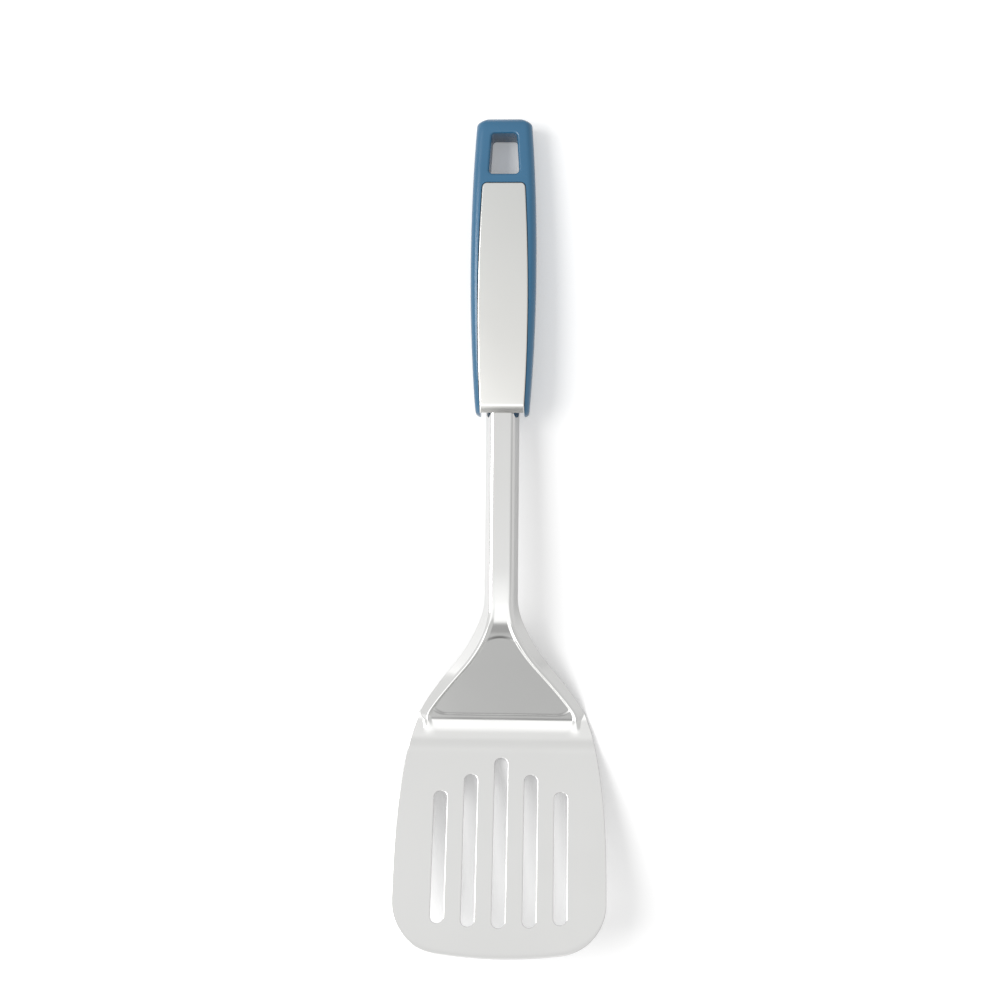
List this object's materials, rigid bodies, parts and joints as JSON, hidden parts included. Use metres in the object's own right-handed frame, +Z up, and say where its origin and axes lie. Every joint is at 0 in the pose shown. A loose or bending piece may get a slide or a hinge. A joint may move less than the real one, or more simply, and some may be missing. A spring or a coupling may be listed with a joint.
{
  "type": "slotted spatula",
  "caption": "Slotted turner lying on its back: pressed steel blade with flanged neck and channel shank, in a moulded blue handle with a steel front cover and a hang hole.",
  "frame": {"origin": "centre of the bounding box at the level the tool lies on, under its butt and its heel", "axes": "+Y along the tool towards the handle's butt, +Z up, out of the front of the blade and the handle's cover"},
  "size_m": [0.0904, 0.3522, 0.0337],
  "materials": {
    "blade_steel": "polished stainless steel",
    "cover_steel": "fine brushed stainless steel",
    "handle_plastic": "satin moulded plastic",
    "screw_steel": "zinc plated",
    "pad_foam": "matt foam"
  },
  "bodies": {
    "root": {"slotted_blade": "blade_steel", "handle_body": "handle_plastic", "cover_plate": "cover_steel", "tang_screw_lower": "screw_steel", "tang_screw_upper": "screw_steel", "cover_pad_lower": "pad_foam", "cover_pad_upper": "pad_foam"}
  },
  "joints": []
}
